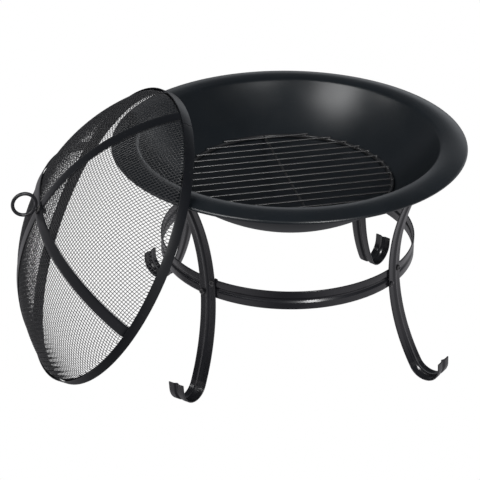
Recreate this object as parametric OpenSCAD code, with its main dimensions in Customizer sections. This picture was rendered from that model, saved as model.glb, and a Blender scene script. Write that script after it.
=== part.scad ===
// Fire pit with grate: a pressed steel bowl that rests on a four-legged stand, a wire
// grate in the bowl, and a domed mesh spark screen that leans against the bowl's rim.
// Millimetres, Z up, the floor at Z = 0, the origin at the middle of the whole object's box.

/* [Place] */
// How far the bowl's axis stands to the right of the middle
bowl_x = 78.4; // [60:0.1:110]
// How far the bowl's axis stands behind the middle
bowl_y = 20; // [0:0.1:40]

/* [Bowl] */
// Radius over the rim
bowl_r = 280; // [250:1:320]
// Radius of the crease where the dish meets the rim
crease_r = 237.5; // [200:0.5:250]
// Height of the crease above the floor
crease_z = 344; // [320:1:380]
// Depth of the dish below the crease
dish_depth = 130; // [90:1:160]
// How far the rim's crown stands above a straight line across the rim
rim_crown = 4; // [2:0.5:8]
// How far the rim's outer edge lies below the crease
rim_drop = 2.5; // [0:0.5:8]
// Radius of the rolled hem
hem_r = 2.5; // [2:0.5:4]
// Thickness of the bowl's sheet
bowl_t = 1.5; // [1:0.1:2.5]

/* [Stand] */
// Width of the ribbed strip that a leg is bent from
leg_w = 29; // [26:1:36]
// Height of the ribbed strip that the ring is rolled from
ring_h = 31; // [28:1:36]
// Thickness of the strip
strip_t = 2; // [1.5:0.1:3]
// Width of the strip's rib
rib_w = 11; // [8:1:14]
// Height of the strip's rib
rib_h = 2.4; // [1.6:0.2:5]
// Radius over the stand ring
ring_r = 205; // [180:1:230]
// Height of the ring's middle
ring_z = 167; // [140:1:200]
// Height at which the legs stand closest together
waist_z = 175; // [150:1:200]
// Bend radius of a leg's long curve
leg_bend = 329; // [280:1:400]
// Bend radius of a leg's foot
foot_bend = 26; // [20:1:36]
// Length of the straight tip past the foot's bend
foot_tip = 12; // [4:1:20]
// Turn of the front left leg about the bowl's axis
leg_turn = -127.7; // [-135:0.1:-110]
// Sideways lean of each leg at the ring, anticlockwise from the front left leg
leg_leans = [4.8, 4.8, 2.2, -1]; // [-6:0.1:6]

/* [Fasteners] */
// Thread diameter of the stand's bolts
bolt_d = 5; // [4:1:6]
// Length of a bolt below its head
bolt_l = 12; // [10:1:16]
// Diameter of a bolt's head
head_d = 9; // [8:0.5:12]
// Height of a bolt's head
head_h = 3.2; // [2.5:0.1:4]
// Sideways distance of a bolt from the middle of the joint
bolt_side = 9.5; // [9:0.1:12]
// Upward or downward distance of a bolt from the middle of the joint
bolt_up = 10.3; // [9:0.1:12]

/* [Grate] */
// Radius of the grate ring, to the middle of its wire
grate_r = 165; // [140:1:190]
// Wire diameter of the grate ring
grate_wire = 6; // [4:0.5:8]
// Wire diameter of the bars
bar_wire = 3.2; // [2.5:0.1:5]
// Wire diameter of the cross bar
cross_wire = 4; // [3:0.5:6]
// Distance between the bars
bar_pitch = 21.5; // [18:0.5:26]
// Number of bars on each side of the middle bar
bars_per_side = 7; // [4:1:8]
// Turn of the grate in the bowl
grate_turn = 13; // [0:1:90]

/* [Spark screen] */
// Radius over the screen's rim band
band_r = 241.5; // [225:0.1:250]
// Height of the rim band
band_h = 16.5; // [12:0.5:24]
// Thickness of the rim band
band_t = 1.4; // [1:0.1:2]
// Thickness of the clamp ring inside the band
clamp_t = 1; // [0.8:0.1:1.5]
// Thickness of the woven wire
mesh_t = 0.8; // [0.6:0.1:1.5]
// Rise of the mesh dome above the band
dome_h = 114.5; // [90:0.5:150]
// Width of a strap
strap_w = 20; // [12:1:24]
// Thickness of a strap
strap_t = 1.2; // [1:0.1:2]
// Turn of the first strap about the screen's axis
strap_turn = -11; // [-45:1:45]
// Free play between the screen's layers
play = 0.2; // [0.1:0.1:0.4]

/* [Screen handle] */
// Radius of the handle's ring, to the middle of its rod
eye_r = 18; // [15:1:30]
// Rod diameter of the handle's ring
eye_rod = 5.6; // [4:0.2:8]
// Distance from the dome to the middle of the ring
eye_out = 25.5; // [22:0.5:40]
// Thread diameter of the handle's stud
stud_d = 6; // [5:1:8]

/* [How the screen leans] */
// Direction from the bowl's axis toward the leaning screen
lean_turn = 196.6; // [180:0.1:210]
// Tilt of the screen's axis from upright
lean_tilt = 61.2; // [50:0.1:75]
// Distance of the screen's middle from the bowl's axis
lean_out = 287; // [280:0.5:300]

/* [Hidden] */
$fn = 96;
leg_names = ["leg_front_left", "leg_front_right", "leg_back_right", "leg_back_left"];
bar_names = [for (i = [-bars_per_side : bars_per_side]) str("grate_bar_", i + bars_per_side + 1)];

steel = "#26272b";

// Bowl: the dish is a cap of a sphere, the rim an arch of a smaller circle
dish_r = (crease_r * crease_r + dish_depth * dish_depth) / (2 * dish_depth);
dish_z = crease_z - dish_depth + dish_r;
rim_in = [crease_r, crease_z];
rim_out = [bowl_r - hem_r * 0.5, crease_z - rim_drop];
rim_chord = norm(rim_out - rim_in);
rim_bend = (rim_chord * rim_chord / 4 + rim_crown * rim_crown) / (2 * rim_crown);
rim_tilt = atan2(rim_out[1] - rim_in[1], rim_out[0] - rim_in[0]);
rim_mid = (rim_in + rim_out) / 2
    - (rim_bend - rim_crown) * [-sin(rim_tilt), cos(rim_tilt)];
hem_mid = [bowl_r - hem_r, crease_z - rim_drop - hem_r];

// Legs: the foot's bend continues the long curve and its underside just meets the floor
leg_r = ring_r + 0.2 + strip_t;
leg_mid_r = leg_r + leg_bend;
foot_mid_z = foot_bend + strip_t;
foot_swing = asin((waist_z - foot_mid_z) / (leg_bend - foot_bend));
foot_mid_r = leg_mid_r - (leg_bend - foot_bend) * cos(foot_swing);
rim_under = rim_mid[1] + rim_bend - bowl_t;
function corner_drop(i) = leg_w / 2 * sin(abs(leg_leans[i]));
function foot_lift(i) = corner_drop(i) - ring_z * (1 - cos(leg_leans[i]));
function leg_top(i) = ring_z
    + (rim_under - 0.5 - foot_lift(i) - corner_drop(i) - ring_z) / cos(leg_leans[i]);
function top_swing(i) = asin((leg_top(i) - waist_z) / (leg_bend + strip_t));

// Grate: its ring lies on the dish, 0.3 clear of it
grate_reach = dish_r - grate_wire / 2 - 0.3;
grate_z = dish_z - sqrt(grate_reach * grate_reach - grate_r * grate_r);
bar_z = grate_z + grate_wire / 2 + bar_wire / 2 + 0.1;
cross_z = bar_z - bar_wire / 2 - cross_wire / 2 - 0.1;

// Screen: from the outside in, band, strap, mesh, clamp
strap_r = band_r - band_t - play;
mesh_r = strap_r - strap_t - play;
clamp_r = mesh_r - mesh_t - play;
dome_bend = (mesh_r * mesh_r + dome_h * dome_h) / (2 * dome_h);
dome_mid = band_h + dome_h - dome_bend;
apex_mesh = band_h + dome_h;
apex_lower = apex_mesh + play + strap_t;
apex_upper = apex_lower + play + strap_t;
lean_z = band_r * sin(lean_tilt);

// Section of the ribbed strip: x is across the strip, y is the way its rib stands out.
// The foot's bend, which is fused to the strip's end, is drawn a hair thicker all round.
hair = 0.02;
function rib(x) = rib_h / 2 * (1 + cos(360 * x / rib_w));
function strip_face(y, half_w) = concat([[-half_w, y]],
    [for (i = [-4 : 4]) [i * rib_w / 8, y + rib(i * rib_w / 8)]], [[half_w, y]]);
function reversed(list) = [for (i = [len(list) - 1 : -1 : 0]) list[i]];
function strip_section(width, thicker = 0) = concat(
    strip_face(-thicker - strip_t, width / 2 + thicker),
    reversed(strip_face(thicker, width / 2 + thicker)));

// A leg's strip bent to a radius in the XZ plane, its rib toward the bend's middle
module bent_strip(bend, from, to, thicker = 0)
    rotate([90, 0, 0]) rotate([0, 0, from]) rotate_extrude(angle = to - from, $fn = 180)
        polygon([for (p = strip_section(leg_w, thicker)) [bend - p[1], p[0]]]);

module at_bowl()
    translate([bowl_x, bowl_y, 0]) children();

// Places a part drawn on a leg's own radius, at X = radius
module at_leg(i)
    at_bowl() rotate([0, 0, leg_turn + 90 * i]) children();

// Leans a leg sideways at the ring and sets the low edge of its foot on the floor
module leaned(i)
    translate([0, 0, ring_z + foot_lift(i)]) rotate([leg_leans[i], 0, 0]) translate([0, 0, -ring_z])
        children();

// The two bolt places of a joint, seen from outside: upper right and lower left
module at_bolts()
    for (s = [-1, 1]) translate([0, s * bolt_side, ring_z + s * bolt_up]) children();

module bolt_holes()
    at_bolts() translate([ring_r - 20, 0, 0]) rotate([0, 90, 0])
        cylinder(d = bolt_d + 0.4, h = 40, $fn = 32);

module leg(i) {
    color(steel) at_leg(i) {
        difference() {
            leaned(i) translate([leg_mid_r, 0, waist_z])
                bent_strip(leg_bend, 180 - top_swing(i), 180 + foot_swing);
            bolt_holes();
        }
        leaned(i) translate([foot_mid_r, 0, foot_mid_z]) {
            bent_strip(foot_bend, 179 + foot_swing, 361, hair);
            linear_extrude(height = foot_tip)
                polygon([for (p = strip_section(leg_w)) [foot_bend - p[1], p[0]]]);
        }
    }
}

module stand_ring() {
    color(steel) at_bowl() difference() {
        rotate_extrude($fn = 180)
            polygon([for (p = strip_section(ring_h)) [ring_r - strip_t - p[1], ring_z + p[0]]]);
        for (i = [0 : 3]) rotate([0, 0, leg_turn + 90 * i]) bolt_holes();
    }
}

// Pan-head bolt along -X, the underside of its head at X = 0, with a cross recess
module bolt() {
    rotate([0, 90, 0]) difference() {
        union() {
            translate([0, 0, -bolt_l]) cylinder(d = bolt_d - 0.2, h = bolt_l, $fn = 32);
            intersection() {
                cylinder(d = head_d, h = head_h, $fn = 48);
                translate([0, 0, head_h - head_d]) sphere(r = head_d, $fn = 64);
            }
        }
        for (a = [0, 90]) rotate([0, 0, a])
            translate([-2.4, -0.5, head_h - 1.6]) cube([4.8, 1, 3]);
    }
}

// Each head lies against its leg's outer face, which curves away from the waist; the upper
// head's seat is taken 2 higher because the legs' lean moves their waist
function leg_face(z) = leg_mid_r - sqrt(leg_bend * leg_bend - (z - waist_z) * (z - waist_z));
function seat(s) = leg_face(ring_z + s * (bolt_up + head_d / 2) + (s < 0 ? 0 : 2)) + 0.3;

module stand_bolts()
    color(steel) for (i = [0 : 3]) at_leg(i) for (s = [-1, 1])
        translate([seat(s), s * bolt_side, ring_z + s * bolt_up]) bolt();

module hex_nut(across, hole, h)
    difference() {
        cylinder(d = across / cos(30), h = h, $fn = 6);
        translate([0, 0, -1]) cylinder(d = hole, h = h + 2, $fn = 32);
    }

module stand_nuts()
    color(steel) for (i = [0 : 3]) at_leg(i) at_bolts()
        translate([ring_r - strip_t - 0.8 - 4, 0, 0]) rotate([0, 90, 0])
            hex_nut(8, bolt_d, 4);

module bowl() {
    color(steel) at_bowl() rotate_extrude($fn = 180) {
        // dish
        intersection() {
            translate([0, dish_z]) difference() {
                circle(r = dish_r + bowl_t, $fn = 360);
                circle(r = dish_r, $fn = 360);
            }
            translate([0, crease_z - dish_depth - 10]) square([crease_r + 1, dish_depth + 9.4]);
        }
        // arched rim
        intersection() {
            translate(rim_mid) difference() {
                circle(r = rim_bend, $fn = 360);
                circle(r = rim_bend - bowl_t, $fn = 360);
            }
            translate([crease_r, crease_z - 10]) square([rim_out[0] - crease_r, 20]);
        }
        // rolled hem
        translate(hem_mid) circle(r = hem_r, $fn = 32);
    }
}

module at_grate(z)
    at_bowl() translate([0, 0, z]) rotate([0, 0, grate_turn]) children();

module grate_ring()
    color(steel) at_grate(grate_z) rotate_extrude($fn = 120)
        translate([grate_r, 0]) circle(d = grate_wire, $fn = 32);

// A straight wire along X, its middle at the origin
module wire(d, length)
    translate([-length / 2, 0, 0]) rotate([0, 90, 0]) cylinder(d = d, h = length, $fn = 32);

module grate_bar(i) {
    y = (i - bars_per_side) * bar_pitch;
    reach = grate_r + grate_wire / 2 - 1;
    color(steel) at_grate(bar_z) translate([0, y, 0]) wire(bar_wire, 2 * sqrt(reach * reach - y * y));
}

module grate_cross_bar()
    color(steel) at_grate(cross_z) rotate([0, 0, 90])
        wire(cross_wire, 2 * (grate_r - grate_wire / 2 - 0.2));

// Places a part of the screen, drawn upright about Z with its open side at Z = 0
module at_screen()
    at_bowl() rotate([0, 0, lean_turn]) translate([lean_out, 0, lean_z])
        rotate([0, lean_tilt, 0]) children();

module hoop(r, t, h)
    difference() {
        cylinder(r = r, h = h, $fn = 180);
        translate([0, 0, -1]) cylinder(r = r - t, h = h + 2, $fn = 180);
    }

// A domed shell with a short upright skirt, all its layers about one middle; r is over the
// skirt, apex is its top, and its dome starts a little above the band
module shell(r, apex, t) {
    bend = apex - dome_mid;
    start = band_h + 1;
    inner = sqrt((bend - t) * (bend - t) - (start - dome_mid) * (start - dome_mid));
    rotate_extrude($fn = 180) {
        polygon([[r - t, 2], [r, 2], [r, start - 0.5], [inner + t * 0.8, start + t / 3],
            [inner + t * 0.2, start + t / 3], [r - t, start - 0.5]]);
        intersection() {
            translate([0, dome_mid]) difference() {
                circle(r = bend, $fn = 360);
                circle(r = bend - t, $fn = 360);
            }
            translate([0, start]) square([r + 5, apex]);
        }
    }
}

module stud_hole()
    translate([0, 0, apex_mesh - 20]) cylinder(d = stud_d + 0.5, h = 40, $fn = 32);

module screen_mesh()
    color("#3a3b3f") at_screen() difference() {
        shell(mesh_r, apex_mesh, mesh_t);
        stud_hole();
    }

module screen_band()
    color(steel) at_screen() hoop(band_r, band_t, band_h);

module screen_clamp()
    color(steel) at_screen() hoop(clamp_r, clamp_t, band_h - 2);

// A strap over the dome, its two ends tucked behind the band
module strap(turn, apex)
    color(steel) at_screen() difference() {
        intersection() {
            shell(strap_r, apex, strap_t);
            rotate([0, 0, turn]) translate([-band_r - 10, -strap_w / 2, 0])
                cube([2 * band_r + 20, strap_w, apex + 20]);
        }
        stud_hole();
    }

module strap_lower() strap(strap_turn, apex_lower);

module strap_upper() strap(strap_turn + 90, apex_upper);

// Ring and threaded stud bent from one rod; the ring stands in the plane of the lean
module screen_handle()
    color(steel) at_screen() translate([0, 0, apex_mesh]) {
        translate([0, 0, eye_out]) rotate([90, 0, 0]) rotate_extrude($fn = 96)
            translate([eye_r, 0]) circle(d = eye_rod, $fn = 32);
        translate([0, 0, -12]) cylinder(d = stud_d, h = 12 + eye_out - eye_r, $fn = 32);
    }

module washer(z)
    color(steel) at_screen() translate([0, 0, z]) difference() {
        cylinder(d = 16, h = 1.4, $fn = 48);
        translate([0, 0, -1]) cylinder(d = stud_d + 0.4, h = 4, $fn = 32);
    }

module handle_washer_outer() washer(apex_upper + 0.2);

module handle_washer_inner() washer(apex_mesh - mesh_t - 1.7);

module handle_nut()
    color(steel) at_screen() translate([0, 0, apex_mesh - mesh_t - 1.9 - 5])
        hex_nut(10, stud_d + 0.2, 5);

for (i = [0 : 3]) leg(i);
stand_ring();
stand_bolts();
stand_nuts();
bowl();
grate_ring();
grate_cross_bar();
for (i = [0 : 2 * bars_per_side]) grate_bar(i);
screen_mesh();
screen_band();
screen_clamp();
strap_lower();
strap_upper();
screen_handle();
handle_washer_outer();
handle_washer_inner();
handle_nut();
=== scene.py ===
# Fire pit with grate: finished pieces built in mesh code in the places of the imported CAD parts,
# their coats, the studio and the camera. Metres, Z up, the floor at Z = 0.
import math
import random

import bmesh
import bpy
from mathutils import Matrix, Vector


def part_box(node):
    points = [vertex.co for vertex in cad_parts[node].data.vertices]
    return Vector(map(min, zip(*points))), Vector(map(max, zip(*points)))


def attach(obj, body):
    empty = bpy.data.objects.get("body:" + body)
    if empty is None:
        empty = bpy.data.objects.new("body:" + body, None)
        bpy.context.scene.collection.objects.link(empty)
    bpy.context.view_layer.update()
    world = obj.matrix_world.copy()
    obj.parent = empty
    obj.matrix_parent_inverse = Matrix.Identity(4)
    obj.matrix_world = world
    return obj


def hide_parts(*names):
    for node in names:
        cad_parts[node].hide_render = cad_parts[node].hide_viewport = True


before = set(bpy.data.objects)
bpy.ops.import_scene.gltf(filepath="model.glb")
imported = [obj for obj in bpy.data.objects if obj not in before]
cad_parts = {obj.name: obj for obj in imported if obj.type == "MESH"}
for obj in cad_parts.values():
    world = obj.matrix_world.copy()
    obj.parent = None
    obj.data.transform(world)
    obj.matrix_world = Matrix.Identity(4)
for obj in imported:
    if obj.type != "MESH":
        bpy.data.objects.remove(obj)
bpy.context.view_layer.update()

# Sizes repeated from part.scad, in metres and degrees
CREASE_R, CREASE_Z, DISH_DEPTH = 0.2375, 0.344, 0.130
BOWL_R, RIM_CROWN, RIM_DROP, HEM_R, BOWL_T = 0.280, 0.004, 0.0025, 0.0025, 0.0015
LEG_W, RING_H, STRIP_T, RIB_W, RIB_H = 0.029, 0.031, 0.002, 0.011, 0.0024
RING_R, RING_Z, WAIST_Z = 0.205, 0.167, 0.175
LEG_BEND, FOOT_BEND, FOOT_TIP = 0.329, 0.026, 0.012
LEG_TURN, LEG_LEANS = -127.7, (4.8, 4.8, 2.2, -1)
BOLT_D, BOLT_SIDE, BOLT_UP = 0.005, 0.0095, 0.0103
GRATE_R, GRATE_WIRE, BAR_WIRE, CROSS_WIRE = 0.165, 0.006, 0.0032, 0.004
BAR_PITCH, BARS_PER_SIDE, BAR_INSET, GRATE_TURN = 0.0215, 7, 0.001, 13
BAND_R, BAND_H, BAND_T, CLAMP_T, MESH_T = 0.2415, 0.0165, 0.0014, 0.001, 0.0008
DOME_H, STRAP_W, STRAP_T, STRAP_TURN, PLAY = 0.1145, 0.020, 0.0012, -11, 0.0002
WIRE_PLAY, GRATE_PLAY, RIM_PLAY, STUD_PLAY = 0.0001, 0.0003, 0.0005, 0.00025
EYE_R, EYE_ROD, EYE_OUT, STUD_D = 0.018, 0.0056, 0.0255, 0.006
LEAN_TURN, LEAN_TILT, LEAN_OUT = 196.6, 61.2, 0.287

# Sizes that only the finished pieces have
EDGE = 0.0006
CREASE_ROUND = 0.004
WEAVE_PITCH, WEAVE_WIRE = 0.00463, 0.00098
SEAM_TURN, SEAM_GAP = 164, 0.0014
WEAVE_INSET, WEAVE_MARGIN = 0.0009, 0.0008
RING_WELD, CROSS_WELD = (0.0022, 0.0013, 0.0011), (0.0012, 0.0014, 0.0010)
THREAD_PITCH = 0.001
DRILL_LENGTH = 0.04
END_TAPER = 0.0004
SHARP_ANGLE = math.radians(42)

LEGS = ["leg_front_left", "leg_front_right", "leg_back_right", "leg_back_left"]

# The middle of the bowl's box gives its axis; everything else is placed about that
low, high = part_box("bowl")
BOWL_AXIS = Vector(((low[0] + high[0]) / 2, (low[1] + high[1]) / 2, 0))


def moved(x, y, z):
    return Matrix.Translation((x, y, z))


def turned(angle, axis):
    return Matrix.Rotation(math.radians(angle), 4, axis)


def arc(mid, radius, start, end, steps):
    """Points (radius, height) on a circle about mid, from one angle to the other in degrees."""
    angles = [math.radians(start + (end - start) * i / steps) for i in range(steps + 1)]
    return [Vector((mid[0] + radius * math.cos(a), mid[1] + radius * math.sin(a))) for a in angles]


AT_BOWL = Matrix.Translation(BOWL_AXIS)
LEAN_Z = BAND_R * math.sin(math.radians(LEAN_TILT))
AT_SCREEN = (AT_BOWL @ turned(LEAN_TURN, "Z") @ moved(LEAN_OUT, 0, LEAN_Z)
             @ turned(LEAN_TILT, "Y"))


# ---- camera ----

# Fitted to the photograph: 28.4 degrees down, from straight in front, with a long lens
VIEW_DOWN, VIEW_ROLL = math.radians(28.403), 0.0031
VIEW_DISTANCE, VIEW_LENS = 2.7496, 126.85
VIEW_TARGET = BOWL_AXIS + Vector((-0.0768, 0, 0.1608))


def add_camera():
    back = Vector((0, -math.cos(VIEW_DOWN), math.sin(VIEW_DOWN)))
    upright = Vector((0, math.sin(VIEW_DOWN), math.cos(VIEW_DOWN)))
    right = Vector((1, 0, 0)) * math.cos(VIEW_ROLL) + upright * math.sin(VIEW_ROLL)
    up = upright * math.cos(VIEW_ROLL) - Vector((1, 0, 0)) * math.sin(VIEW_ROLL)
    data = bpy.data.cameras.new("camera")
    data.lens = VIEW_LENS
    data.sensor_width = 36
    data.clip_end = 50
    camera = bpy.data.objects.new("camera", data)
    camera.matrix_world = (Matrix.Translation(VIEW_TARGET + VIEW_DISTANCE * back)
                           @ Matrix((right, up, back)).transposed().to_4x4())
    bpy.context.scene.collection.objects.link(camera)
    bpy.context.scene.camera = camera


add_camera()


# ---- materials ----

def node(tree, kind, inputs=None, **settings):
    """Adds a shader node; inputs gives each socket a value, or a socket to take it from."""
    made = tree.nodes.new(kind)
    for key, value in settings.items():
        setattr(made, key, value)
    for socket, value in (inputs or {}).items():
        if isinstance(value, bpy.types.NodeSocket):
            tree.links.new(value, made.inputs[socket])
        else:
            made.inputs[socket].default_value = value
    return made


def spread(tree, value, low, high, to_low, to_high):
    """The value, moved from the range low..high to the range to_low..to_high."""
    return node(tree, "ShaderNodeMapRange", {
        "Value": value, "From Min": low, "From Max": high,
        "To Min": to_low, "To Max": to_high}).outputs["Result"]


def mixed(tree, factor, a, b):
    """Colour a, and b where factor is 1."""
    return node(tree, "ShaderNodeMix", {"Factor": factor, 6: a, 7: b},
                data_type="RGBA").outputs[2]


def times(tree, a, b):
    return node(tree, "ShaderNodeMath", {0: a, 1: b}, operation="MULTIPLY").outputs[0]


SPECK, BARE_STEEL, DUST = (0.05, 0.05, 0.053, 1), (0.16, 0.155, 0.15, 1), (0.30, 0.27, 0.24, 1)


def coat(name, colour, rough, peel_size=0.0016, peel=0.00003, worn=0.12, dust=0.006, ior=1.5):
    """A sprayed dark coat on steel: clouded colour, orange-peel skin, uneven gloss, rubbed
    edges where bare steel begins to show, and a little dust on what faces up."""
    material = bpy.data.materials.new(name)
    material.use_nodes = True
    tree = material.node_tree
    shader = tree.nodes["Principled BSDF"]
    place = node(tree, "ShaderNodeTexCoord").outputs["Object"]
    shape = node(tree, "ShaderNodeNewGeometry")

    def noise(size, detail):
        return node(tree, "ShaderNodeTexNoise", {
            "Vector": place, "Scale": 1 / size, "Detail": detail}).outputs[0]

    cloud = spread(tree, noise(0.09, 4), 0.35, 0.65, 0, 1)
    speck = noise(0.0025, 2)
    base = mixed(tree, cloud, (*[c * 0.85 for c in colour], 1), (*[c * 1.2 for c in colour], 1))
    base = mixed(tree, spread(tree, speck, 0.66, 0.74, 0, 0.25), base, SPECK)
    edges = spread(tree, shape.outputs["Pointiness"], 0.53, 0.60, 0, worn)
    edges = times(tree, edges, spread(tree, noise(0.006, 5), 0.4, 0.6, 0, 1))
    base = mixed(tree, edges, base, BARE_STEEL)
    facing_up = node(tree, "ShaderNodeSeparateXYZ", {0: shape.outputs["Normal"]}).outputs["Z"]
    settled = times(tree, spread(tree, facing_up, 0.5, 1, 0, dust),
                    spread(tree, noise(0.03, 6), 0.4, 0.7, 0, 1))
    base = mixed(tree, settled, base, DUST)
    gloss = spread(tree, noise(0.06, 3), 0.3, 0.7, rough - 0.02, rough + 0.02)
    gloss = node(tree, "ShaderNodeMath", {0: gloss, 1: times(tree, settled, 4.0)},
                 operation="ADD").outputs[0]
    skin = node(tree, "ShaderNodeBump", {
        "Strength": 1.0, "Distance": peel, "Height": noise(peel_size, 2)})
    tree.links.new(base, shader.inputs["Base Color"])
    tree.links.new(gloss, shader.inputs["Roughness"])
    tree.links.new(skin.outputs[0], shader.inputs["Normal"])
    shader.inputs["IOR"].default_value = ior
    return material


STAND_COAT = coat("stand_coat", (0.009, 0.009, 0.011), 0.25, peel=0.000004, dust=0.003)
BOWL_COAT = coat("bowl_coat", (0.005, 0.007, 0.009), 0.30, peel_size=0.0024, peel=0.000012)
GRATE_COAT = coat("grate_coat", (0.020, 0.020, 0.021), 0.30, worn=0.2, dust=0.002)
WOVEN_COAT = coat("woven_coat", (0.024, 0.024, 0.026), 0.42, peel=0.000005)
TRIM_COAT = coat("trim_coat", (0.003, 0.0035, 0.005), 0.36, peel=0.000008, dust=0.002, ior=1.4)
ROD_COAT = coat("rod_coat", (0.010, 0.010, 0.012), 0.36)
FASTENER_COAT = coat("fastener_coat", (0.014, 0.014, 0.016), 0.30, worn=0.6)


# ---- building pieces ----

class Shape:
    """The points and faces of one piece."""

    def __init__(self):
        self.points = []
        self.faces = []

    def add(self, made, where=Matrix()):
        points, faces = made
        start = len(self.points)
        self.points += [where @ Vector(p) for p in points]
        self.faces += [[start + i for i in face] for face in faces]
        return self


def revolve(outline, steps=256):
    """A closed outline of (radius, height) turned about Z; a point on the axis is shared."""
    points, rows, faces = [], [], []
    for radius, height in outline:
        count = 1 if radius < 1e-6 else steps
        rows.append([len(points) + i for i in range(count)])
        for i in range(count):
            a = math.tau * i / steps
            points.append((radius * math.cos(a), radius * math.sin(a), height))
    for a, b in zip(rows, rows[1:] + rows[:1]):
        for i in range(steps):
            j = i + 1
            corners = [a[i % len(a)], a[j % len(a)], b[j % len(b)], b[i % len(b)]]
            corners = list(dict.fromkeys(corners))
            if len(corners) > 2:
                faces.append(corners)
    return points, faces


def sweep(rings):
    """Faces along a row of equal closed rings of points, open at both ends."""
    count = len(rings[0])
    faces = []
    for a in range(0, count * (len(rings) - 1), count):
        faces += [[a + i, a + (i + 1) % count, a + count + (i + 1) % count, a + count + i]
                  for i in range(count)]
    return [p for ring in rings for p in ring], faces


def closed(rings):
    """The rings swept, with one face over each end."""
    points, faces = sweep(rings)
    count = len(rings[0])
    return points, faces + [list(range(count)), list(range(len(points) - count, len(points)))]


def closed_strip(rings):
    """The rings of a flat strip swept, with a row of faces across each end."""
    points, faces = sweep(rings)
    count = len(rings[0])
    for start in (0, len(points) - count):
        faces += [[start + k, start + k + 1, start + count - 2 - k, start + count - 1 - k]
                  for k in range(count // 2 - 1)]
    return points, faces


def rod(length, radius, sides=20, bow=0.0):
    """A straight wire along X about the origin, its ends rounded over, bowed a little."""
    ends = [(0, 0.55), (0.15, 0.85), (0.45, 1.0)]
    places = [(-length / 2 + x * radius, radius * k) for x, k in ends]
    count = max(2, round(length / 0.012))
    places += [(-length / 2 + radius + (length - 2 * radius) * i / count, radius)
               for i in range(count + 1)]
    places += [(length / 2 - x * radius, radius * k) for x, k in reversed(ends)]
    rings = []
    for x, r in places:
        sag = bow * (1 - (2 * x / length) ** 2)
        rings.append([(x, r * math.cos(math.tau * i / sides) + sag,
                       r * math.sin(math.tau * i / sides)) for i in range(sides)])
    return closed(rings)


def bead(size):
    """A small weld bead, a flattened lump of the given half sizes."""
    made = bmesh.new()
    bmesh.ops.create_icosphere(made, subdivisions=2, radius=1)
    for v in made.verts:
        v.co *= 1 + 0.12 * math.sin(5 * v.co.x + 3 * v.co.y) * math.cos(4 * v.co.z)
    points = [(v.co.x * size[0], v.co.y * size[1], v.co.z * size[2]) for v in made.verts]
    faces = [[v.index for v in face.verts] for face in made.faces]
    made.free()
    return points, faces


def drilled(obj, holes):
    """Cuts round holes, each given as (matrix along Z, radius, length), and applies them."""
    cutters = bmesh.new()
    for where, radius, length in holes:
        bmesh.ops.create_cone(cutters, cap_ends=True, segments=40, radius1=radius,
                              radius2=radius, depth=length, matrix=where)
    mesh = bpy.data.meshes.new("cutters")
    cutters.to_mesh(mesh)
    cutters.free()
    tool = bpy.data.objects.new("cutters", mesh)
    bpy.context.scene.collection.objects.link(tool)
    cut = obj.modifiers.new("holes", "BOOLEAN")
    cut.operation = "DIFFERENCE"
    cut.solver = "EXACT"
    cut.object = tool
    seen = obj.evaluated_get(bpy.context.evaluated_depsgraph_get())
    result = bpy.data.meshes.new_from_object(seen)
    obj.modifiers.clear()
    obj.data = result
    bpy.data.objects.remove(tool)
    bpy.data.meshes.remove(mesh)


def piece(name, shape, where, body, material, slot, *nodes, holes=()):
    """Makes the piece, which rides on a body and stands for the CAD nodes."""
    mesh = bpy.data.meshes.new(name)
    mesh.from_pydata(shape.points, [], shape.faces)
    work = bmesh.new()
    work.from_mesh(mesh)
    bmesh.ops.recalc_face_normals(work, faces=work.faces)
    work.to_mesh(mesh)
    work.free()
    mesh.transform(where)
    obj = bpy.data.objects.new(name, mesh)
    bpy.context.scene.collection.objects.link(obj)
    if holes:
        drilled(obj, holes)
    obj.data.materials.clear()
    obj.data.materials.append(material)
    obj.data.shade_smooth()
    obj.data.set_sharp_from_angle(angle=SHARP_ANGLE)
    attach(obj, body)
    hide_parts(*nodes)
    return obj


# ---- bowl ----

def dish_circle():
    radius = (CREASE_R ** 2 + DISH_DEPTH ** 2) / (2 * DISH_DEPTH)
    return radius, (0, CREASE_Z - DISH_DEPTH + radius)


def rim_circle():
    """The circle of the rim's arch, and its angles at the crease and at the hem."""
    inner = Vector((CREASE_R, CREASE_Z))
    outer = Vector((BOWL_R - HEM_R / 2, CREASE_Z - RIM_DROP))
    chord = outer - inner
    radius = (chord.length ** 2 / 4 + RIM_CROWN ** 2) / (2 * RIM_CROWN)
    up = Vector((-chord.y, chord.x)).normalized()
    mid = (inner + outer) / 2 - up * (radius - RIM_CROWN)
    start = math.degrees(math.atan2(inner.y - mid.y, inner.x - mid.x))
    end = math.degrees(math.atan2(outer.y - mid.y, outer.x - mid.x))
    return radius, mid, start, end


def rounded_corner(a, corner, b, steps=10):
    """A smooth bend from point a to point b that leaves the corner inside."""
    ts = [i / steps for i in range(steps + 1)]
    return [a * (1 - t) ** 2 + corner * (2 * t * (1 - t)) + b * t ** 2 for t in ts]


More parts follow.
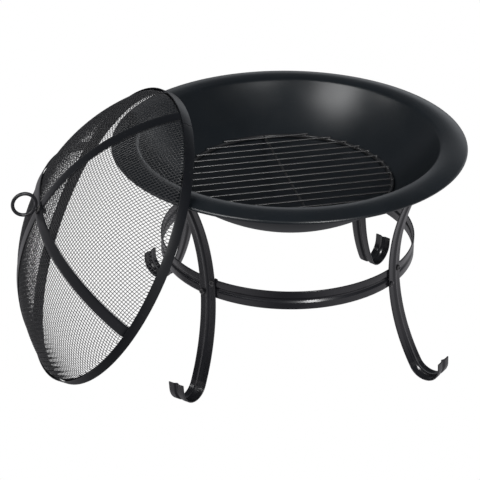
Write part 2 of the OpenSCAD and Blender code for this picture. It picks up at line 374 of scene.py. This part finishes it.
def bowl_outline():
    dish_r, dish_mid = dish_circle()
    rim_r, rim_mid, start, end = rim_circle()
    crease = math.degrees(math.asin(CREASE_R / dish_r))
    back = math.degrees(CREASE_ROUND / dish_r)
    ahead = math.degrees(CREASE_ROUND / rim_r)
    dish = arc(dish_mid, dish_r, -90, -90 + crease - back, 60)
    rim = arc(rim_mid, rim_r, start - ahead, end, 26)
    face = dish + rounded_corner(dish[-1], Vector((CREASE_R, CREASE_Z)), rim[0])[1:-1] + rim
    under = []
    for i in range(1, len(face) - 4):
        along = (face[i + 1] - face[i - 1]).normalized()
        under.append(face[i] + Vector((along.y, -along.x)) * BOWL_T)
    hem_mid = (BOWL_R - HEM_R, CREASE_Z - RIM_DROP - HEM_R)
    hem = arc(hem_mid, HEM_R, 52, -205, 26)
    foot = Vector((0, face[0].y - BOWL_T))
    return [Vector((0, face[0].y))] + face[1:] + hem + under[::-1] + [foot]


piece("bowl_sheet", Shape().add(revolve(bowl_outline())), AT_BOWL,
      "bowl", BOWL_COAT, "bowl_coat", "bowl")


# ---- stand ----

def strip_rows(width, thinner=0.0):
    """The outer and inner face of the ribbed strip, as matched points (across, out)."""
    half = width / 2
    across = [half, half - EDGE * 0.1, half - EDGE * 0.4, half - EDGE, half - 0.003]
    across += [RIB_W / 2 * (1 - i / 12) for i in range(12)]
    across = [-x for x in across] + [0] + across[::-1]
    outer, inner = [], []
    for x in across:
        rib = RIB_H / 2 * (1 + math.cos(math.tau * x / RIB_W)) if abs(x) < RIB_W / 2 else 0
        over = max(0, abs(x) - half + EDGE)
        round_off = EDGE - math.sqrt(max(0, EDGE ** 2 - over ** 2)) + thinner
        x *= 1 - thinner / half
        outer.append((x, rib - round_off))
        inner.append((x, rib - STRIP_T + round_off))
    return outer, inner


def leg_bends():
    """The middles of a leg's two bends in its own plane, and how many degrees below level the
    long bend goes on before the foot's begins."""
    leg_mid = (RING_R + PLAY + STRIP_T + LEG_BEND, WAIST_Z)
    foot_z = FOOT_BEND + STRIP_T
    swing = math.degrees(math.asin((WAIST_Z - foot_z) / (LEG_BEND - FOOT_BEND)))
    foot_mid = (leg_mid[0] - (LEG_BEND - FOOT_BEND) * math.cos(math.radians(swing)), foot_z)
    return leg_mid, foot_mid, swing


def leg_places(lean):
    """How far a leaning leg is raised, and the angle at which its strip ends under the rim."""
    rim_r, rim_mid, _, _ = rim_circle()
    lean = math.radians(abs(lean))
    drop = LEG_W / 2 * math.sin(lean)
    lift = drop - RING_Z * (1 - math.cos(lean))
    under = rim_mid.y + rim_r - BOWL_T - RIM_PLAY
    top = RING_Z + (under - lift - drop - RING_Z) / math.cos(lean)
    return lift, math.degrees(math.asin((top - WAIST_Z) / (LEG_BEND + STRIP_T)))


def leg_shape(lean):
    """The strip swept through the long bend, the foot's bend and the upright tip, with both
    ends tapered a little. Inward points to the bend's middle, and the rib stands on that side."""
    leg_mid, foot_mid, swing = leg_bends()
    _, top = leg_places(lean)
    stops = []
    for mid, bend, start, end, steps in ((leg_mid, LEG_BEND, 180 - top, 180 + swing, 90),
                                         (foot_mid, FOOT_BEND, 180 + swing, 360, 40)):
        for i in range(steps + 1):
            a = math.radians(start + (end - start) * i / steps)
            along = Vector((math.cos(a), math.sin(a)))
            stops.append((Vector(mid) + along * bend, -along, 0))
    tip = stops[-1][0]
    stops += [(tip + Vector((0, FOOT_TIP * i / 4)), Vector((-1, 0)), 0) for i in range(1, 5)]
    stops[0] = (*stops[0][:2], END_TAPER)
    stops[-1] = (*stops[-1][:2], END_TAPER)
    stops.insert(1, (stops[0][0].lerp(stops[1][0], 0.06), stops[0][1], 0))
    stops.insert(-1, (stops[-1][0] - Vector((0, END_TAPER)), stops[-1][1], 0))
    rings = []
    for at, inward, thinner in stops:
        outer, inner = strip_rows(LEG_W, thinner)
        rings.append([(at.x + y * inward.x, x, at.y + y * inward.y)
                      for x, y in outer + inner[::-1]])
    return Shape().add(closed_strip(rings))


def bolt_places(turn):
    """Matrices at a joint's two bolts, with Z along the bolt."""
    at_joint = AT_BOWL @ turned(turn, "Z")
    return [at_joint @ moved(RING_R, s * BOLT_SIDE, RING_Z + s * BOLT_UP) @ turned(90, "Y")
            for s in (-1, 1)]


def add_stand():
    bolts = []
    for i, (name, lean) in enumerate(zip(LEGS, LEG_LEANS)):
        lift, _ = leg_places(lean)
        turn = LEG_TURN + 90 * i
        where = (AT_BOWL @ turned(turn, "Z") @ moved(0, 0, RING_Z + lift) @ turned(lean, "X")
                 @ moved(0, 0, -RING_Z))
        own = [(place, BOLT_D / 2 + PLAY, DRILL_LENGTH) for place in bolt_places(turn)]
        bolts += own
        piece(name + "_strip", leg_shape(lean), where,
              "stand", STAND_COAT, "stand_coat", name, holes=own)
    outer, inner = strip_rows(RING_H)
    outline = [(RING_R - STRIP_T - y, RING_Z + x) for x, y in outer + inner[::-1]]
    piece("stand_ring_strip", Shape().add(revolve(outline)), AT_BOWL,
          "stand", STAND_COAT, "stand_coat", "stand_ring", holes=bolts)


add_stand()


# ---- grate ----

def add_grate():
    chance = random.Random(7)
    dish_r, dish_mid = dish_circle()
    reach = dish_r - GRATE_WIRE / 2 - GRATE_PLAY
    ring_z = dish_mid[1] - math.sqrt(reach ** 2 - GRATE_R ** 2)
    bar_z = ring_z + GRATE_WIRE / 2 + BAR_WIRE / 2 + WIRE_PLAY
    cross_z = bar_z - BAR_WIRE / 2 - CROSS_WIRE / 2 - WIRE_PLAY
    turn = AT_BOWL @ turned(GRATE_TURN, "Z")
    outline = [tuple(p) for p in arc((GRATE_R, ring_z), GRATE_WIRE / 2, 0, 345, 23)]
    piece("grate_ring_wire", Shape().add(revolve(outline, 192)), turn,
          "grate", GRATE_COAT, "grate_wire", "grate_ring")
    for i in range(-BARS_PER_SIDE, BARS_PER_SIDE + 1):
        y = i * BAR_PITCH
        outside = math.sqrt((GRATE_R + GRATE_WIRE / 2 - BAR_INSET) ** 2 - y ** 2)
        seat = math.sqrt(GRATE_R ** 2 - y ** 2)
        bar = Shape().add(rod(2 * outside, BAR_WIRE / 2, bow=chance.uniform(-0.0004, 0.0004)))
        under = -BAR_WIRE * 0.45
        for x in (-seat, seat):
            for side in (-1, 1):
                bar.add(bead(RING_WELD), moved(x, side * BAR_WIRE * 0.45, under))
        for side in (-1, 1):
            bar.add(bead(CROSS_WELD), moved(side * CROSS_WIRE * 0.42, 0, under))
        name = f"grate_bar_{i + BARS_PER_SIDE + 1}"
        piece(name + "_wire", bar, turn @ moved(0, y, bar_z),
              "grate", GRATE_COAT, "grate_wire", name)
    cross = Shape().add(rod(2 * (GRATE_R - GRATE_WIRE / 2 - PLAY), CROSS_WIRE / 2))
    piece("grate_cross_bar_wire", cross, turn @ moved(0, 0, cross_z) @ turned(90, "Z"),
          "grate", GRATE_COAT, "grate_wire", "grate_cross_bar")


add_grate()


# ---- spark screen ----

STRAP_R = BAND_R - BAND_T - PLAY
MESH_R = STRAP_R - STRAP_T - PLAY
CLAMP_R = MESH_R - MESH_T - PLAY
DOME_BEND = (MESH_R ** 2 + DOME_H ** 2) / (2 * DOME_H)
DOME_MID = BAND_H + DOME_H - DOME_BEND
APEX = BAND_H + DOME_H
DOME_START = BAND_H + 0.001
CLAMP_H = BAND_H - 0.002


def hoop(radius, thick, height, gap=0.0):
    """A rolled flat band with its four edges rounded; its ends meet at X, a gap apart."""
    outline = []
    for r, z, start in ((radius - EDGE, EDGE, -90), (radius - EDGE, height - EDGE, 0),
                        (radius - thick + EDGE, height - EDGE, 90),
                        (radius - thick + EDGE, EDGE, 180)):
        outline += [tuple(p) for p in arc((r, z), EDGE, start, start + 90, 4)]
    if not gap:
        return Shape().add(revolve(outline))
    open_angle, steps, rings = gap / radius, 256, []
    for i in range(steps + 1):
        a = open_angle / 2 + (math.tau - open_angle) * i / steps
        rings.append([(r * math.cos(a), r * math.sin(a), z) for r, z in outline])
    return Shape().add(closed(rings))


def weave(first):
    """One family of the woven wires. Both run on the same dome and cross at the same places;
    where the family given as first 0 passes over, the one given as 1 passes under."""
    dome = DOME_BEND - WEAVE_INSET
    edge = math.sqrt(dome ** 2 - (DOME_START - DOME_MID) ** 2)
    reach = math.asin(edge / dome) * dome
    count = int(reach / WEAVE_PITCH)
    tuck = (MESH_R - MESH_T / 2) / edge
    sides, half = 6, WEAVE_WIRE / 2
    turns = [(math.cos(math.tau * i / sides), math.sin(math.tau * i / sides))
             for i in range(sides)]
    marks = [dome * math.sin(i * WEAVE_PITCH / dome) for i in range(-count, count + 1)]
    shape = Shape()
    for k, x in enumerate(marks):
        end = math.sqrt(max(0, edge ** 2 - x ** 2))
        if end < WEAVE_PITCH:
            continue
        path = []
        for j, y in enumerate(marks):
            if abs(y) > end - WEAVE_MARGIN:
                continue
            out = Vector((x, y, math.sqrt(dome ** 2 - x ** 2 - y ** 2)))
            over = half if (k + j) % 2 == first else -half
            path.append((out + out.normalized() * over, out.normalized()))
        skirt = []
        for grow, z in ((1, DOME_START), (0.9 + 0.1 * tuck, BAND_H - 0.002), (tuck, 0.004)):
            skirt.append(Vector((x * grow, end * grow, z - DOME_MID)))
        down = [(p, Vector((x, end, 0)).normalized()) for p in skirt]
        flip = Matrix.Diagonal((1, -1, 1))
        path = [(flip @ p, flip @ n) for p, n in reversed(down)] + path + down
        rings = []
        for i, (at, out) in enumerate(path):
            along = path[min(i + 1, len(path) - 1)][0] - path[max(i - 1, 0)][0]
            side = along.cross(out).normalized()
            up = side.cross(along).normalized()
            rings.append([at + (up * c + side * s) * half for c, s in turns])
        shape.add(closed(rings), moved(0, 0, DOME_MID))
    return shape


def strap(apex):
    """A flat strap over the dome along X, its two ends tucked behind the band."""
    bend = apex - DOME_MID - STRAP_T / 2
    top = math.degrees(math.acos((DOME_START + 0.002 - DOME_MID) / bend))
    half_r = STRAP_R - STRAP_T / 2
    side = [(half_r, z, 0) for z in (0.002, 0.006, 0.010, 0.014, BAND_H)]
    steps = 90
    over = []
    for i in range(steps + 1):
        a = top - 2 * top * i / steps
        over.append((bend * math.sin(math.radians(a)),
                     DOME_MID + bend * math.cos(math.radians(a)), 90 - a))
    other = [(-r, z, 180) for r, z, _ in reversed(side)]
    edge = EDGE * 0.8
    half = STRAP_W / 2
    across = [-half, -half + edge * 0.3, -half + edge, -half * 0.5, 0]
    across = across + [-x for x in across[-2::-1]]
    rings = []
    for r, z, facing in side + over + other:
        out = Vector((math.cos(math.radians(facing)), 0, math.sin(math.radians(facing))))
        rows = ([], [])
        for x in across:
            past = max(0, abs(x) - half + edge)
            thick = STRAP_T / 2 - edge + math.sqrt(max(0, edge ** 2 - past ** 2))
            crown = -x * x / (2 * bend)
            for row, sign in zip(rows, (1, -1)):
                row.append(Vector((r, x, z)) + out * (sign * thick + crown))
        rings.append(rows[0] + rows[1][::-1])
    return Shape().add(closed_strip(rings))


def stud_outline(low, high):
    """A threaded stud: ridges of pitch 1 mm between a chamfered foot and a plain neck."""
    r = STUD_D / 2
    outline = [(0, low), (r - 0.0010, low), (r - 0.0004, low + 0.0006)]
    z = low + 0.0008
    while z < high - 0.003:
        outline += [(r - 0.00035, z), (r, z + THREAD_PITCH / 2)]
        z += THREAD_PITCH
    outline += [(r, high - 0.002), (r + 0.0004, high - 0.0008), (r + 0.0011, high)]
    outline += [(r + 0.0006, high + 0.0014), (0, high + 0.0018)]
    return outline


def add_screen():
    centre = [(AT_SCREEN @ moved(0, 0, APEX), STUD_D / 2 + STUD_PLAY, DRILL_LENGTH)]
    looks = (WOVEN_COAT, "screen_wire", "screen_mesh")
    piece("screen_warp", weave(0), AT_SCREEN @ turned(STRAP_TURN, "Z"), "screen", *looks)
    piece("screen_weft", weave(1), AT_SCREEN @ turned(STRAP_TURN + 90, "Z"), "screen", *looks)
    piece("screen_band_hoop", hoop(BAND_R, BAND_T, BAND_H, SEAM_GAP),
          AT_SCREEN @ turned(SEAM_TURN, "Z"), "screen", TRIM_COAT, "screen_trim", "screen_band")
    piece("screen_clamp_hoop", hoop(CLAMP_R, CLAMP_T, CLAMP_H), AT_SCREEN,
          "screen", TRIM_COAT, "screen_trim", "screen_clamp")
    for name, apex, turn in (("strap_lower", APEX + PLAY + STRAP_T, STRAP_TURN),
                             ("strap_upper", APEX + 2 * (PLAY + STRAP_T), STRAP_TURN + 90)):
        piece(name + "_steel", strap(apex), AT_SCREEN @ turned(turn, "Z"),
              "screen", TRIM_COAT, "screen_trim", name, holes=centre)
    eye = [tuple(p) for p in arc((EYE_R, 0), EYE_ROD / 2, 0, 345, 23)]
    handle = Shape().add(revolve(eye, 128), moved(0, 0, APEX + EYE_OUT) @ turned(90, "X"))
    handle.add(revolve(stud_outline(APEX - 0.012, APEX + EYE_OUT - EYE_R - 0.001), 48))
    piece("screen_handle_rod", handle, AT_SCREEN,
          "screen", ROD_COAT, "handle_rod", "screen_handle")


add_screen()

# The CAD bolts, nuts and washers stay as they are, with a coat
for name in ("stand_bolts", "stand_nuts", "handle_washer_outer", "handle_washer_inner",
             "handle_nut"):
    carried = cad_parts[name]
    carried.data.materials.clear()
    carried.data.materials.append(FASTENER_COAT)


# ---- studio ----

SIDES, CEILING = (0.10, 0.105, 0.115, 1), (0.12, 0.13, 0.145, 1)
PANEL = (0.80, 0.83, 0.87, 1)
SHADE_BELOW, FLOOR_ROUND = (0.14, 0.14, 0.15, 1), (0.62, 0.61, 0.64, 1)
FLOOR_SIZE, FLOOR_DROP, BACKDROP_R = 7, 0.0005, 8
LIGHTS_AIM = BOWL_AXIS + Vector((0, 0, 0.3))


def add_paper(name, made):
    """A plain white paper that only the camera sees, so that it throws no light of its own
    on the object; the object shows no shadow on it, as in the photograph."""
    mesh = bpy.data.meshes.new(name)
    made.to_mesh(mesh)
    made.free()
    material = bpy.data.materials.new(name)
    material.use_nodes = True
    shader = material.node_tree.nodes["Principled BSDF"]
    shader.inputs["Base Color"].default_value = (0, 0, 0, 1)
    shader.inputs["Specular IOR Level"].default_value = 0
    shader.inputs["Emission Color"].default_value = (1, 1, 1, 1)
    shader.inputs["Emission Strength"].default_value = 1.0
    mesh.materials.append(material)
    obj = bpy.data.objects.new(name, mesh)
    bpy.context.scene.collection.objects.link(obj)
    for ray in ("visible_diffuse", "visible_glossy", "visible_shadow", "visible_transmission"):
        setattr(obj, ray, False)


def add_papers():
    floor = bmesh.new()
    bmesh.ops.create_grid(floor, x_segments=8, y_segments=8, size=FLOOR_SIZE)
    bmesh.ops.translate(floor, verts=floor.verts, vec=(0, 0, -FLOOR_DROP))
    add_paper("floor_paper", floor)
    backdrop = bmesh.new()
    bmesh.ops.create_uvsphere(backdrop, u_segments=48, v_segments=24, radius=BACKDROP_R)
    add_paper("backdrop_paper", backdrop)


def add_world():
    """The room's light by direction: a bright panel low behind the object and stronger to the
    right, a dim ceiling, dim sides, and from below a pale floor, darker under the object."""
    world = bpy.data.worlds.new("studio")
    world.use_nodes = True
    tree = world.node_tree
    way = node(tree, "ShaderNodeTexCoord").outputs["Generated"]
    way = node(tree, "ShaderNodeSeparateXYZ", {0: way})
    behind = spread(tree, way.outputs["Y"], 0.35, 0.80, 0, 1)
    not_high = spread(tree, way.outputs["Z"], 0.22, 0.38, 1, 0)
    to_the_right = spread(tree, way.outputs["X"], -0.25, 0.35, 0.08, 1.4)
    panel = times(tree, times(tree, behind, not_high), to_the_right)
    ceiling = mixed(tree, spread(tree, way.outputs["Z"], 0.05, 0.5, 0, 1), SIDES, CEILING)
    above = mixed(tree, panel, ceiling, PANEL)
    sideways = node(tree, "ShaderNodeMath", {0: way.outputs["X"]}, operation="ABSOLUTE").outputs[0]
    below = mixed(tree, spread(tree, sideways, 0.15, 0.55, 0, 1), SHADE_BELOW, FLOOR_ROUND)
    light = mixed(tree, spread(tree, way.outputs["Z"], -0.06, 0.02, 0, 1), below, above)
    tree.links.new(light, tree.nodes["Background"].inputs["Color"])
    bpy.context.scene.world = world


def add_softbox(name, around, above, distance, wide, tall, power):
    """A soft light that faces the bowl. Around and above are degrees, power is in watts."""
    around, above = math.radians(around), math.radians(above)
    way = Vector((math.cos(above) * math.cos(around), math.cos(above) * math.sin(around),
                  math.sin(above)))
    data = bpy.data.lights.new(name, "AREA")
    data.shape = "RECTANGLE"
    data.size, data.size_y = wide, tall
    data.energy = power
    light = bpy.data.objects.new(name, data)
    light.location = LIGHTS_AIM + way * distance
    light.rotation_euler = way.to_track_quat("Z", "Y").to_euler()
    bpy.context.scene.collection.objects.link(light)


add_papers()
add_world()
add_softbox("key", -140, 47, 3.2, 1.3, 1.3, 42)
add_softbox("front_strip", -69, 27, 2.8, 0.30, 1.1, 52)
add_softbox("left_strip", -175, 25, 2.6, 0.5, 0.5, 8)
bpy.context.scene.view_settings.view_transform = "Standard"
